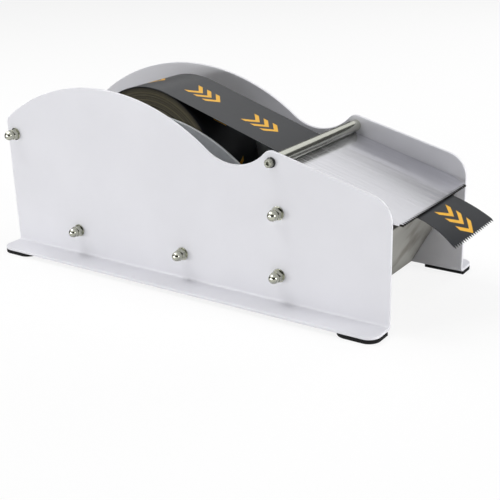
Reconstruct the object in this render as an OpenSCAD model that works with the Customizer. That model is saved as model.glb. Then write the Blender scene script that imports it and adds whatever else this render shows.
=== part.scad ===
// Bench dispenser for one roll of packing tape, loaded and threaded.
// Millimetres, Z up, front (tape exit) along +X, left plate on -Y.
// The origin is on the bench under the middle of the whole part.

/* [Side plates] */
// Length of a side plate, rear edge to front edge
plate_len = 305; // [290:1:330]
// Thickness of the side plate sheet
plate_t = 2; // [1.5:0.5:3]
// Clear width between the two side plates
inside_w = 102; // [92:1:130]
// Width of the foot flange, from the outer face of the plate
flange_w = 18.5; // [14:0.5:30]
// Rounding of the flange's outer corners, seen from above
flange_corner_r = 8; // [4:1:14]
// Inside radius of the flange bend
bend_r = 1.5; // [0.5:0.5:3]
// Height of the top of the rear hump
hump_top = 124.6; // [122:0.2:130]
// Radius of the rear hump
hump_r = 146.5; // [140:0.5:155]
// Distance of the hump's top from the rear edge
hump_at = 87.8; // [80:0.2:95]
// Rounding of the rear top corner
rear_corner_r = 6; // [2:1:10]
// Height of the lowest point of the valley between hump and guide bar
valley_z = 88; // [86:0.5:90]
// Downward slope of the front edge, degrees
edge_slope = 14.4; // [12:0.2:17]
// Rounding of the front top corner
front_corner_r = 16; // [8:1:20]

/* [Rubber feet] */
// Thickness of a foot pad
pad_t = 2.5; // [2:0.5:5]
// Length of a foot pad
pad_len = 28; // [20:1:60]
// Margin of the pad inside the flange edge
pad_inset = 0; // [0:0.25:3]

/* [Fixings] */
// Thread of the tie rods and domed nuts
rod_d = 4; // [4:1:6]
// Clearance of a rod in its hole, on the diameter
rod_fit = 0.3; // [0.1:0.1:0.6]
// Distance of the rear tie rod from the rear edge
tie_at = 7.8; // [7:0.2:14]
// Height of the rear tie rod
tie_z = 85; // [60:0.2:86]
// Distance of the front rods from the rear edge
front_rod_at = 229.2; // [228:0.2:236]
// Height of the upper front rod
upper_rod_z = 62.2; // [56:0.2:66]
// Outer diameter of the spacer tubes
spacer_d = 10; // [8:1:12]

/* [Rollers] */
// Distance of the rear roller from the rear edge
roller_at = 62; // [58:0.5:68]
// Distance between the two rollers
roller_pitch = 92; // [86:1:98]
// Height of the roller rods, shared by the lower front rod
roller_z = 21.8; // [21:0.1:26]
// Diameter of a roller
roller_d = 20; // [18:1:24]
// Outer diameter of the sleeve that a roller turns on
sleeve_d = 8; // [7:0.5:10]
// Running clearance of the bushes on the sleeve, on the radius
run_fit = 0.05; // [0.02:0.01:0.1]

/* [Tape] */
// Width of the tape
tape_w = 50; // [44:1:52]
// Outer diameter of the wound roll
roll_d = 109; // [100:1:110]
// Inner diameter of the tape core
core_d = 76; // [70:1:78]
// Wall of the tape core
core_wall = 3; // [2:0.5:5]
// Thickness of the strip as modelled
strip_t = 0.4; // [0.3:0.1:0.6]
// Length of the drooping end in front of the cutting edge, along X
tail_reach = 27; // [15:0.5:35]
// Radius of the droop
tail_r = 67; // [50:1:120]
// Extra length of the torn end on the right-hand side
tear_skew = 2; // [0:0.5:6]
// Side play between the roll and each cheek
roll_play = 1; // [0.5:0.25:3]
// Air between the roll and its rollers, and under the strip where it leaves the roll
roll_gap = 0.3; // [0.2:0.1:0.6]

/* [Roll cheeks] */
// Thickness of a cheek
cheek_t = 2; // [1:0.5:3]
// Length of a cheek
cheek_len = 156; // [140:1:170]
// Height of the cheek's lower edge
cheek_z = 10; // [6:0.5:12]
// Height of the cheek's top
cheek_top = 105.9; // [95:0.1:110]
// Radius of the cheek's curved top edge
cheek_r = 124.3; // [115:0.5:140]
// Margin of the cheek's finger window inside the bore of the core
window_margin = 2; // [1:0.5:6]

/* [Guide bar] */
// Distance of the guide bar from the rear edge
bar_at = 225; // [222:0.5:228]
// Height of the guide bar's axis
bar_z = 93.3; // [92:0.1:95]
// Diameter of the guide bar
bar_d = 8; // [6:0.5:10]
// Rounding of the plate around the guide bar
lobe_r = 7; // [6:0.5:9]
// Thread of the guide bar screws
screw_d = 3; // [3:0.5:4]

/* [Cutting plate] */
// Thickness of the stainless sheet
sheet_t = 1.5; // [1:0.25:2]
// Downward slope of the cutting plate, degrees
blade_slope = 15.8; // [15:0.2:16.4]
// Reach of the tooth tips past the front edge of the plates
blade_reach = 3; // [0:0.5:4]
// Tooth pitch
tooth_pitch = 2.5; // [2:0.25:5]
// Tooth depth
tooth_depth = 2.4; // [1:0.2:4]
// Plain stretch at each end of the saw edge
blade_corner = 6; // [3:0.5:12]
// Run of the clipped corner back from the tooth roots, at each end of the saw edge
corner_back = 12; // [2:1:16]

/* [Front chute] */
// Distance of the chute's upper front edge behind the front of the plates
chute_back = 4.5; // [3:0.5:8]
// Height of the tape mouth, from the chute's upper front edge up to the cutting plate
mouth_h = 6; // [5:0.2:8]
// Lean of the front panel from upright, degrees
chute_lean = 29; // [24:1:34]
// Upward slope of the deck towards the rear, degrees
deck_slope = 9; // [6:0.5:10]
// Height of the panel's lower edge
chute_foot_z = 4.5; // [4:0.5:10]

/* [Hidden] */
$fn = 96;

// Where the rear edge of the plates lies, so that the origin is under the middle
blade_tip_at = plate_len + blade_reach;
tail_tip = blade_tip_at + tail_reach + tear_skew / 2;
rear_x = -tail_tip / 2;
half_in = inside_w / 2;
half_out = half_in + plate_t;
half_all = half_out + flange_w;

// Fixing sizes that follow from the thread
nut_af = rod_d * 1.75;
nut_h = rod_d * 2.2;
nut_hex_h = rod_d * 0.9;
dome_d = rod_d * 1.65;
washer_d = rod_d * 2.2;
washer_t = rod_d * 0.2;
rod_hole = rod_d + rod_fit;
nut_bore = rod_d + 0.1;
rod_end = half_out + washer_t + nut_h * 0.65;
screw_head_d = screw_d * 1.83;
screw_hole = screw_d + rod_fit;
screw_len = 12;
screw_washer_d = screw_d * 2.2;
screw_washer_t = 0.8;

// Stack on a roller rod, from the middle outwards
cheek_in = tape_w / 2 + roll_play;
cheek_out = cheek_in + cheek_t;
roller_end_play = 0.5;
roller_len = 2 * (cheek_in - roller_end_play);
roller_wall = 2;
bush_len = 12;
bush_d = roller_d - 2 * roller_wall;

// The roll lies in the saddle of its two rollers
roll_at = roller_at + roller_pitch / 2;
roll_z = roller_z + sqrt(pow((roll_d + roller_d) / 2 + roll_gap, 2) - pow(roller_pitch / 2, 2));
core_out_d = core_d + 2 * core_wall;
window_d = core_d - 2 * window_margin;

// Cutting plate: it lies close under the guide bar, which holds its rear edge down
roll_pt = [roll_at, roll_z];
bar_pt = [bar_at, bar_z];
bar_air = 0.02;
blade_dir = [cos(blade_slope), -sin(blade_slope)];
blade_nrm = [sin(blade_slope), cos(blade_slope)];
blade_foot = bar_pt - (bar_d / 2 + bar_air + sheet_t) * blade_nrm;
blade_start = -4.5;
blade_end = (blade_tip_at - blade_foot[0]) / cos(blade_slope);
blade_w = inside_w;
blade_flange = 7;
blade_flange_end = blade_end - 12;
strap_drop = 9;

// Tape path: straight from the roll's top to the plate's rear edge, then along its underside
lip_pt = along_blade(blade_start, sheet_t / 2);
lip_r = sheet_t / 2 + bar_air;
strip_roll_r = roll_d / 2 + roll_gap;
span = norm(lip_pt - roll_pt);
web_ang = dir_of(lip_pt - roll_pt) + acos((strip_roll_r + lip_r + strip_t) / span);

// Front chute
chute_at = plate_len - chute_back;
chute_z = blade_foot[1] - (chute_at - blade_foot[0]) * tan(blade_slope) - mouth_h;
panel_run = (chute_z - chute_foot_z) * tan(chute_lean);
deck_start = front_rod_at + 5;
deck_rise = (chute_at - deck_start) * tan(deck_slope);
chute_w = inside_w - 2 * sheet_t;
front_spacer_len = chute_w - 2 * sheet_t;

function along_blade(d, n = 0) = blade_foot + d * blade_dir + n * blade_nrm;
function arc(c, r, a0, a1, steps) =
    [for (i = [0 : steps]) c + r * [cos(a0 + (a1 - a0) * i / steps), sin(a0 + (a1 - a0) * i / steps)]];
function dir_of(v) = atan2(v[1], v[0]);

// Side profile: hump, valley and lobe are three arcs that meet without a corner
hump_pt = [hump_at, hump_top - hump_r];
lobe_pt = bar_pt;
function valley_x(r) = hump_at + sqrt(pow(hump_r + r, 2) - pow(valley_z + r - hump_pt[1], 2));
function valley_miss(r) = norm([valley_x(r), valley_z + r] - lobe_pt) - lobe_r - r;
function solve_valley(lo, hi, n) = n == 0 ? (lo + hi) / 2
    : valley_miss((lo + hi) / 2) > 0 ? solve_valley((lo + hi) / 2, hi, n - 1)
    : solve_valley(lo, (lo + hi) / 2, n - 1);
valley_r = solve_valley(5, 120, 40);
valley_pt = [valley_x(valley_r), valley_z + valley_r];
edge_nrm = [sin(edge_slope), cos(edge_slope)];
edge_pt = lobe_pt + lobe_r * edge_nrm;
function edge_z(x) = edge_pt[1] - (x - edge_pt[0]) * tan(edge_slope);
corner_x = plate_len - front_corner_r;
corner_pt = [corner_x, edge_z(corner_x) - front_corner_r / cos(edge_slope)];
hump_end = dir_of(valley_pt - hump_pt);
valley_end = dir_of(lobe_pt - valley_pt);
rear_ctr_z = hump_pt[1] + sqrt(pow(hump_r - rear_corner_r, 2) - pow(hump_at - rear_corner_r, 2));
rear_pt = [rear_corner_r, rear_ctr_z];
rear_end = dir_of(rear_pt - hump_pt);

module plate_outline() {
    polygon(concat(
        [[0, pad_t]],
        arc(rear_pt, rear_corner_r, 180, rear_end, 8),
        arc(hump_pt, hump_r, rear_end, hump_end, 60),
        arc(valley_pt, valley_r, hump_end + 180, valley_end + 360, 24),
        arc(lobe_pt, lobe_r, valley_end + 180, 90 - edge_slope, 16),
        arc(corner_pt, front_corner_r, 90 - edge_slope, 0, 16),
        [[plate_len, pad_t]]));
}

// Turns a side outline (length, height) into a slab from y0 to y1
module slab(y0, y1) {
    translate([rear_x, y1, 0])
        rotate([90, 0, 0])
            linear_extrude(y1 - y0)
                children();
}

// A cylinder across the part at a place in the side view
module cross(at, z, d, y0, y1) {
    translate([rear_x + at, y1, z])
        rotate([90, 0, 0])
            cylinder(d = d, h = y1 - y0);
}

module tube(at, z, d, bore, y0, y1) {
    difference() {
        cross(at, z, d, y0, y1);
        cross(at, z, bore, y0 - 1, y1 + 1);
    }
}

module both_sides() {
    children();
    mirror([0, 1, 0])
        children();
}

// The five places where a tie rod passes through both plates
rod_places = [[tie_at, tie_z], [roller_at, roller_z], [roller_at + roller_pitch, roller_z],
    [front_rod_at, upper_rod_z], [front_rod_at, roller_z]];

module rod_holes(y0, y1) {
    for (p = rod_places)
        cross(p[0], p[1], rod_hole, y0, y1);
}

// Bent section of a right-hand plate in the Y-Z plane
module bend_section() {
    square([plate_t, hump_top + 1]);
    square([plate_t + flange_w, plate_t]);
    translate([plate_t, plate_t])
        difference() {
            square(bend_r);
            translate([bend_r, bend_r])
                circle(bend_r);
        }
}

module bend_round() {
    difference() {
        square(bend_r + plate_t);
        translate([bend_r + plate_t, bend_r + plate_t])
            circle(bend_r + plate_t);
    }
}

// Foot outline seen from above, square inside and round at the two outer corners
module foot_plan(x0, x1, y0, y1, r, round_rear, round_front) {
    difference() {
        translate([x0, y0])
            square([x1 - x0, y1 - y0]);
        if (round_rear)
            translate([x0, y1 - r])
                corner_cut(r, 1);
        if (round_front)
            translate([x1, y1 - r])
                corner_cut(r, -1);
    }
}

module corner_cut(r, side) {
    mirror([side < 0 ? 1 : 0, 0])
        difference() {
            translate([-1, 0])
                square([r + 1, r + 1]);
            translate([r, 0])
                circle(r);
        }
}

module right_plate_solid() {
    difference() {
        intersection() {
            slab(half_in, half_all + 1)
                plate_outline();
            translate([rear_x, half_in, pad_t])
                rotate([90, 0, 90])
                    linear_extrude(plate_len)
                        difference() {
                            bend_section();
                            bend_round();
                        }
            linear_extrude(hump_top + 1)
                foot_plan(rear_x, rear_x + plate_len, half_in, half_all, flange_corner_r, true, true);
        }
        rod_holes(half_in - 1, half_out + 1);
        cross(bar_at, bar_z, screw_hole, half_in - 1, half_out + 1);
    }
}

module right_side_plate() {
    color("#e1e1e6")
        right_plate_solid();
}

module left_side_plate() {
    color("#e1e1e6")
        mirror([0, 1, 0])
            right_plate_solid();
}

// Foot pads, under the four ends of the flanges
module right_pad(front) {
    start = front ? rear_x + plate_len - pad_inset - pad_len : rear_x + pad_inset;
    linear_extrude(pad_t)
        foot_plan(start, start + pad_len, half_in + bend_r + plate_t, half_all - pad_inset,
            flange_corner_r - pad_inset, true, true);
}

module right_rear_foot() {
    color("#0b0b0d")
        right_pad(false);
}

module right_front_foot() {
    color("#0b0b0d")
        right_pad(true);
}

module left_rear_foot() {
    color("#0b0b0d")
        mirror([0, 1, 0])
            right_pad(false);
}

module left_front_foot() {
    color("#0b0b0d")
        mirror([0, 1, 0])
            right_pad(true);
}

// Tie rods
module tie_rod(place) {
    color("#a9aaa6")
        cross(place[0], place[1], rod_d, -rod_end, rod_end);
}

module rear_tie_rod() {
    tie_rod(rod_places[0]);
}

module rear_roller_rod() {
    tie_rod(rod_places[1]);
}

module front_roller_rod() {
    tie_rod(rod_places[2]);
}

module upper_front_rod() {
    tie_rod(rod_places[3]);
}

module lower_front_rod() {
    tie_rod(rod_places[4]);
}

// Spacer tubes that set the distance between the plates
module rear_tie_tube() {
    color("#b5b6ac")
        tube(tie_at, tie_z, spacer_d, rod_hole, -half_in, half_in);
}

module front_spacer(z) {
    color("#b5b6ac")
        tube(front_rod_at, z, spacer_d, rod_hole, -front_spacer_len / 2, front_spacer_len / 2);
}

module upper_front_spacer() {
    front_spacer(upper_rod_z);
}

module lower_front_spacer() {
    front_spacer(roller_z);
}

// Rollers on their sleeves, between the cheeks
module roller_sleeve(at) {
    color("#a9aaa6")
        tube(at, roller_z, sleeve_d, rod_hole, -cheek_in, cheek_in);
}

module roller_tube(at) {
    color("#c3c4c6")
        tube(at, roller_z, roller_d, bush_d, -roller_len / 2, roller_len / 2);
}

module roller_bushes(at) {
    color("#e8e6dc")
        both_sides()
            tube(at, roller_z, bush_d, sleeve_d + 2 * run_fit, roller_len / 2 - bush_len, roller_len / 2);
}

module standoffs(at) {
    color("#a9aaa6")
        both_sides()
            tube(at, roller_z, spacer_d, rod_hole, cheek_out, half_in);
}

module rear_roller_sleeve() {
    roller_sleeve(roller_at);
}

module rear_roller() {
    roller_tube(roller_at);
}

module rear_roller_bushes() {
    roller_bushes(roller_at);
}

module rear_standoffs() {
    standoffs(roller_at);
}

module front_roller_sleeve() {
    roller_sleeve(roller_at + roller_pitch);
}

module front_roller() {
    roller_tube(roller_at + roller_pitch);
}

module front_roller_bushes() {
    roller_bushes(roller_at + roller_pitch);
}

module front_standoffs() {
    standoffs(roller_at + roller_pitch);
}

// Roll cheeks: a curved top edge, rounded lower corners and a finger window
cheek_corner_r = 10;

module cheek_outline() {
    difference() {
        intersection() {
            translate([roll_at, cheek_top - cheek_r])
                circle(cheek_r, $fn = 240);
            rounded_square(roll_at - cheek_len / 2, roll_at + cheek_len / 2, cheek_z, cheek_top + 20,
                cheek_corner_r);
        }
        translate([roll_at, roll_z])
            circle(d = window_d);
        for (x = [roller_at, roller_at + roller_pitch])
            translate([x, roller_z])
                circle(d = rod_hole);
    }
}

module rounded_square(x0, x1, z0, z1, r) {
    translate([x0 + r, z0])
        square([x1 - x0 - 2 * r, z1 - z0]);
    translate([x0, z0 + r])
        square([x1 - x0, z1 - z0 - 2 * r]);
    for (x = [x0 + r, x1 - r], z = [z0 + r, z1 - r])
        translate([x, z])
            circle(r);
}

module right_roll_cheek() {
    color("#9a9c9a")
        slab(cheek_in, cheek_out)
            cheek_outline();
}

module left_roll_cheek() {
    color("#9a9c9a")
        slab(-cheek_out, -cheek_in)
            cheek_outline();
}

// Front chute: deck and leaning panel in one fold, with a side wall at each end
panel_t = sheet_t / cos(chute_lean);
deck_t = sheet_t / cos(deck_slope);
chute_top = [chute_at, chute_z];
panel_foot = [chute_at - panel_run, chute_foot_z];
deck_rear = [deck_start, chute_z + deck_rise];
wall_z = roller_z - strap_drop;
wall_rear = front_rod_at - strap_drop;

function panel_x(z) = chute_at - (chute_z - z) * tan(chute_lean);

module chute_fold() {
    polygon([chute_top, panel_foot, panel_foot - [panel_t, 0],
        chute_top - [panel_t + deck_t * tan(chute_lean), deck_t - panel_t * tan(deck_slope)],
        deck_rear - [0, deck_t], deck_rear]);
}

module chute_wall() {
    polygon([[wall_rear, wall_z], [panel_x(wall_z), wall_z], chute_top, deck_rear,
        [wall_rear, deck_rear[1]]]);
}

module front_chute() {
    color("#8a8983")
        difference() {
            union() {
                slab(-chute_w / 2, chute_w / 2)
                    chute_fold();
                both_sides()
                    slab(chute_w / 2 - sheet_t, chute_w / 2)
                        chute_wall();
            }
            for (z = [upper_rod_z, roller_z])
                cross(front_rod_at, z, rod_hole, -half_in - 1, half_in + 1);
        }
}

// Cutting plate: a channel along the slope, cut to its side outline and to its toothed plan
channel_r = sheet_t + 0.5;

module channel_section() {
    difference() {
        channel_shape(blade_w / 2, sheet_t, channel_r);
        channel_shape(blade_w / 2 - sheet_t, 0, channel_r - sheet_t);
    }
}

module channel_shape(half, top, r) {
    translate([-half, -90])
        square([2 * half, 90 + top - r]);
    translate([-half + r, -90])
        square([2 * half - 2 * r, 90 + top]);
    for (y = [-half + r, half - r])
        translate([y, top - r])
            circle(r);
}

// Side outline: the sheet itself, a shallow side flange and the strap down to the two rods
module blade_side() {
    polygon([along_blade(blade_start, sheet_t + 1), along_blade(blade_end + 1, sheet_t + 1),
        along_blade(blade_end + 1, 0), along_blade(blade_flange_end, 0),
        along_blade(blade_flange_end - blade_flange, -blade_flange),
        [front_rod_at + strap_drop + 6, along_blade(20, -blade_flange)[1]],
        [front_rod_at + strap_drop, upper_rod_z], [front_rod_at + strap_drop, wall_z],
        [wall_rear, wall_z], [wall_rear, along_blade(0, -9)[1]], along_blade(blade_start, 0)]);
}

// Toothed plan, measured along the slope from the foot of the guide bar
saw_half = blade_w / 2 - blade_corner;
tooth_count = floor(2 * saw_half / tooth_pitch);
saw_start = -tooth_count * tooth_pitch / 2;

module blade_plan() {
    polygon(concat(
        [[-20, -blade_w / 2], [blade_end - tooth_depth - corner_back, -blade_w / 2],
            [blade_end - tooth_depth, saw_start]],
        [for (i = [0 : tooth_count - 1], k = [0, 1])
            [k == 0 ? blade_end - tooth_depth : blade_end, saw_start + (i + k * 0.5) * tooth_pitch]],
        [[blade_end - tooth_depth, -saw_start], [blade_end - tooth_depth - corner_back, blade_w / 2],
            [-20, blade_w / 2]]));
}

module on_blade() {
    translate([rear_x + blade_foot[0], 0, blade_foot[1]])
        rotate([0, blade_slope, 0])
            children();
}

module cutting_plate() {
    color("#b9b9be")
        difference() {
            intersection() {
                on_blade()
                    translate([-40, 0, 0])
                        rotate([90, 0, 90])
                            linear_extrude(blade_end + 60)
                                channel_section();
                slab(-half_in - 1, half_in + 1)
                    blade_side();
                on_blade()
                    translate([0, 0, -100])
                        linear_extrude(110)
                            blade_plan();
            }
            for (z = [upper_rod_z, roller_z])
                cross(front_rod_at, z, rod_hole, -half_in - 1, half_in + 1);
        }
}

// Guide bar with a tapped hole in each end
module guide_bar() {
    color("#c8c8c0")
        difference() {
            cross(bar_at, bar_z, bar_d, -half_in, half_in);
            both_sides()
                cross(bar_at, bar_z, screw_d + 0.1, half_in - screw_len, half_in + 1);
        }
}

module guide_bar_screws() {
    head_y = half_out + screw_washer_t;
    color("#9fa095")
        both_sides()
            difference() {
                union() {
                    cross(bar_at, bar_z, screw_d, head_y - screw_len, head_y + 0.1);
                    cross(bar_at, bar_z, screw_head_d, head_y, head_y + screw_d);
                }
                translate([rear_x + bar_at, head_y + screw_d * 1.5, bar_z])
                    rotate([90, 0, 0])
                        cylinder(d = screw_d * 0.87, h = screw_d, $fn = 6);
            }
}

module guide_bar_washers() {
    color("#1a1a1c")
        both_sides()
            tube(bar_at, bar_z, screw_washer_d, screw_hole, half_out, half_out + screw_washer_t);
}

// Domed nuts: hexagon, collar and a round cap over a blind bore
module domed_nut() {
    difference() {
        union() {
            cylinder(d = nut_af / cos(30), h = nut_hex_h, $fn = 6);
            cylinder(d = dome_d, h = nut_h - dome_d / 2);
            translate([0, 0, nut_h - dome_d / 2])
                sphere(d = dome_d);
        }
        translate([0, 0, -1])
            cylinder(d = nut_bore, h = nut_h * 0.7 + 1);
    }
}

module domed_nuts() {
    color("#b9bba8")
        both_sides()
            for (p = rod_places)
                translate([rear_x + p[0], half_out + washer_t, p[1]])
                    rotate([-90, 0, 0])
                        domed_nut();
}

module plain_washers() {
    color("#c8c9c4")
        both_sides()
            for (p = rod_places)
                tube(p[0], p[1], washer_d, rod_hole, half_out, half_out + washer_t);
}

// Tape: the core, the winding and the threaded strip
module tape_core() {
    color("#5c574b")
        tube(roll_at, roll_z, core_out_d, core_d, -tape_w / 2, tape_w / 2);
}

module tape_roll() {
    color("#55585c")
        tube(roll_at, roll_z, roll_d, core_out_d, -tape_w / 2, tape_w / 2);
}

// Side view of the strip: lies on the roll, spans to the bar, follows the plate and droops
strip_lap = 24;
strip_start = web_ang + strip_lap;
tail_turn = 32;
tail_pt = along_blade(blade_end, -bar_air) - tail_r * blade_nrm;

module strip_side() {
    turns = [web_ang, 90 - blade_slope];
    polygon(concat(
        arc(roll_pt, strip_roll_r + strip_t, strip_start, web_ang, 8),
        arc(lip_pt, lip_r, turns[0] + 180, turns[1] + 180, 4),
        arc(tail_pt, tail_r, turns[1], turns[1] - tail_turn, 12),
        arc(tail_pt, tail_r - strip_t, turns[1] - tail_turn, turns[1], 12),
        arc(lip_pt, lip_r + strip_t, turns[1] + 180, turns[0] + 180, 4),
        arc(roll_pt, strip_roll_r, web_ang, strip_start, 8)));
}

// Plan of the strip with the torn zigzag end
strip_teeth = 20;
tail_bite = 2.2;

function tear_x(y) = tail_tip - tear_skew * (0.5 - y / tape_w);

module strip_plan() {
    step = tape_w / strip_teeth;
    polygon(concat(
        [[0, -tape_w / 2]],
        [for (i = [0 : strip_teeth - 1], k = [0, 1])
            let (y = -tape_w / 2 + (i + k * 0.5) * step)
                [tear_x(y) - (k == 0 ? tail_bite : 0), y]],
        [[tear_x(tape_w / 2) - tail_bite, tape_w / 2], [0, tape_w / 2]]));
}

module tape_strip() {
    color("#4c4e52")
        intersection() {
            slab(-tape_w / 2, tape_w / 2)
                strip_side();
            translate([rear_x, 0, 0])
                linear_extrude(hump_top + 20)
                    strip_plan();
        }
}

left_side_plate();
right_side_plate();
left_rear_foot();
left_front_foot();
right_rear_foot();
right_front_foot();
rear_tie_rod();
rear_tie_tube();
rear_roller_rod();
rear_roller_sleeve();
rear_roller();
rear_roller_bushes();
front_roller_rod();
front_roller_sleeve();
front_roller();
front_roller_bushes();
rear_standoffs();
front_standoffs();
left_roll_cheek();
right_roll_cheek();
upper_front_rod();
upper_front_spacer();
lower_front_rod();
lower_front_spacer();
front_chute();
cutting_plate();
guide_bar();
guide_bar_screws();
guide_bar_washers();
domed_nuts();
plain_washers();
tape_roll();
tape_core();
tape_strip();
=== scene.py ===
# %% [markdown]
# # A bench dispenser for packing tape
# Two white plates stand on folded feet. Between them lie a roll of printed tape, a round guide
# bar, a brushed cutting plate with a saw edge, and a leaning front panel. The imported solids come
# in first and stay where they are. Each piece below is then made finer than its solid, in the
# same place, and is shown instead of it. Lengths are written in millimetres and turned to
# metres with MM.

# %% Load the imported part
import math
import random

import bpy
from mathutils import Matrix, Vector


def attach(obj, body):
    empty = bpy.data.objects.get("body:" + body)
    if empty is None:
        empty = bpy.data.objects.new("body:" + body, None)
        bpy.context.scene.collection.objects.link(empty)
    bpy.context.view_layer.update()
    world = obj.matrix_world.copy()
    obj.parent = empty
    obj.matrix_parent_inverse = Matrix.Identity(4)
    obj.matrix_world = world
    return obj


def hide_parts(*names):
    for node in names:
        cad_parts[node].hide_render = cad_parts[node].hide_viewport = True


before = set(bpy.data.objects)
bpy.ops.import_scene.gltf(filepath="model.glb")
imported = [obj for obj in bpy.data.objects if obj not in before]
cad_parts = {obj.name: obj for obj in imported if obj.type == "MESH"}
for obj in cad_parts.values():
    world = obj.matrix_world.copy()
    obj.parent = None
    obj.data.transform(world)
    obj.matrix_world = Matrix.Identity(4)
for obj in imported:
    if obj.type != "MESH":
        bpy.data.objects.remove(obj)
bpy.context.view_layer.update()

MM = 0.001

# %% [markdown]
# ## The camera
# A camera can be placed by eye, or worked out from the picture's own lines. This one was worked
# out: the plates' edges and the nuts fall on their pixels from this place, so a difference that
# is left lies in the piece and not in the view. It comes first, because every later step is
# judged through it. The three directions are the camera's own right, up and forward.

# %% Camera at the photograph's place
CAMERA_PLACE = Vector((374.75, -531.89, 255.38)) * MM
CAMERA_RIGHT = Vector((0.82536, 0.56387, -0.02879))
CAMERA_UP = Vector((-0.17732, 0.30729, 0.93495))
CAMERA_FORWARD = Vector((-0.53604, 0.76657, -0.35361))
LENS = 72.25
SENSOR = 36
NEAREST, FARTHEST = 0.01, 50

bpy.ops.object.select_all(action="DESELECT")
bpy.ops.object.camera_add()
camera = bpy.context.object
camera.name = "photo_camera"
camera.data.lens = LENS
camera.data.sensor_width = SENSOR
turn = Matrix((CAMERA_RIGHT, CAMERA_UP, -CAMERA_FORWARD)).transposed()
camera.matrix_world = Matrix.Translation(CAMERA_PLACE) @ turn.to_4x4()
camera.data.clip_start, camera.data.clip_end = NEAREST, FARTHEST
bpy.context.scene.camera = camera
print("camera at", [round(v, 3) for v in camera.location], "lens", LENS)

# %% [markdown]
# ## Colour and node helpers
# Colours are written as the eye reads them, in sRGB hex, and turned to the linear values that
# a shader needs. Node trees can be clicked together in the shader editor, but in code every
# value is in plain sight and comes out the same each time. One small function adds any node:
# settings go in by name, and an input takes either a number or another node's output. A
# pattern's scale comes from its real size.

# %% Helpers for materials
def hex_colour(text):
    parts = [int(text[i:i + 2], 16) / 255 for i in (1, 3, 5)]
    return (*[c / 12.92 if c <= 0.04045 else ((c + 0.055) / 1.055) ** 2.4 for c in parts], 1.0)


def per_mm(size):
    # The scale of a pattern that repeats about once in this many millimetres.
    return 1000 / size


def add_node(tree, kind, inputs=None, **settings):
    node = tree.nodes.new("ShaderNode" + kind)
    for name, value in settings.items():
        setattr(node, name, value)
    for name, value in (inputs or {}).items():
        if isinstance(value, bpy.types.Node):
            value = value.outputs[0]
        if isinstance(value, bpy.types.NodeSocket):
            tree.links.new(value, node.inputs[name])
        else:
            node.inputs[name].default_value = value
    return node


print("mid grey in linear values:", [round(c, 3) for c in hex_colour("#808080")[:3]])

# %% [markdown]
# A finish starts from the Principled shader, with the values set that are even all over. What
# varies comes from a pattern: the noise that darkens a scratch also dulls it and sinks it. Three
# patterns would not agree with each other, so one is laid into colour, roughness and bump.

# %% Helpers that start a material and lay a pattern on it
def start_material(name, **shader_values):
    material = bpy.data.materials.new(name)
    material.use_nodes = True
    tree = material.node_tree
    shader = tree.nodes["Principled BSDF"]
    for socket, value in shader_values.items():
        shader.inputs[socket.replace("_", " ")].default_value = value
    coords = add_node(tree, "TexCoord").outputs["Object"]
    return material, tree, shader, coords


def lay_pattern(tree, shader, pattern, tones, roughness, stops=(0, 1), spread=(0, 1),
                bump=None, tone_by=None):
    # stops and spread say which part of the pattern runs from the first tone, or the first
    # roughness, to the last. bump is a strength and a depth in millimetres.
    tone = add_node(tree, "ValToRGB", {"Fac": tone_by or pattern})
    for stop, position, colour in zip(tone.color_ramp.elements, stops, tones):
        stop.position, stop.color = position, hex_colour(colour)
    tree.links.new(tone.outputs["Color"], shader.inputs["Base Color"])
    shine = add_node(tree, "MapRange",
                     {"Value": pattern, "From Min": spread[0], "From Max": spread[1],
                      "To Min": roughness[0], "To Max": roughness[1]})
    tree.links.new(shine.outputs["Result"], shader.inputs["Roughness"])
    relief = None
    if bump:
        strength, depth = bump
        relief = add_node(tree, "Bump",
                          {"Height": pattern, "Strength": strength, "Distance": depth * MM})
        tree.links.new(relief.outputs["Normal"], shader.inputs["Normal"])
    return tone, relief


print("materials that came with the solids:", len(bpy.data.materials))

# %% [markdown]
# ## Working on a copy of a solid
# Most pieces of this dispenser are either cut and folded sheet, or turned on a lathe. A sheet
# piece could be drawn anew from its flat outline, but its solid already has the outline, the
# holes and the folds. So it starts from a copy of the solid, whose loose triangles are merged
# into clean faces, and only gets what the solid lacks. An operator acts on all that is
# selected, so each step first lets go of everything but its own piece.

# %% Helpers for a copy
FLAT_WITHIN = math.radians(0.3)


def focus(piece):
    bpy.ops.object.select_all(action="DESELECT")
    piece.select_set(True)
    bpy.context.view_layer.objects.active = piece


def edit_all(piece):
    focus(piece)
    bpy.ops.object.mode_set(mode="EDIT")
    bpy.ops.mesh.select_mode(type="VERT")
    bpy.ops.mesh.select_all(action="SELECT")


def cad_copy(node, name, merge=0.002):
    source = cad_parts[node]
    piece = bpy.data.objects.new(name, source.data.copy())
    piece.data.name = name
    piece.data.materials.clear()
    bpy.context.scene.collection.objects.link(piece)
    edit_all(piece)
    bpy.ops.mesh.customdata_custom_splitnormals_clear()
    bpy.ops.mesh.remove_doubles(threshold=merge * MM)
    bpy.ops.mesh.dissolve_limited(angle_limit=FLAT_WITHIN)
    bpy.ops.object.mode_set(mode="OBJECT")
    return piece


print("solids in the frame:", len(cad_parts))

# %% [markdown]
# ## Rounding edges
# No real edge is quite sharp, and its small rounding is what catches the light. A Bevel modifier
# rounds all sharp edges alike. Here some have to stay as they are, so the sharp ones are picked
# in edit mode, the unwanted ones are let go, and the bevel operator rounds the rest. Faces and
# points are let go too, because they would bring their own edges back. Weighted normals then
# keep the wide faces flat in the light.

# %% Helpers for edges
SHARP = 40


def apply_modifier(piece, kind, **settings):
    focus(piece)
    modifier = piece.modifiers.new(kind.lower(), kind)
    for name, value in settings.items():
        setattr(modifier, name, value)
    bpy.ops.object.modifier_apply(modifier=modifier.name)


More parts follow.
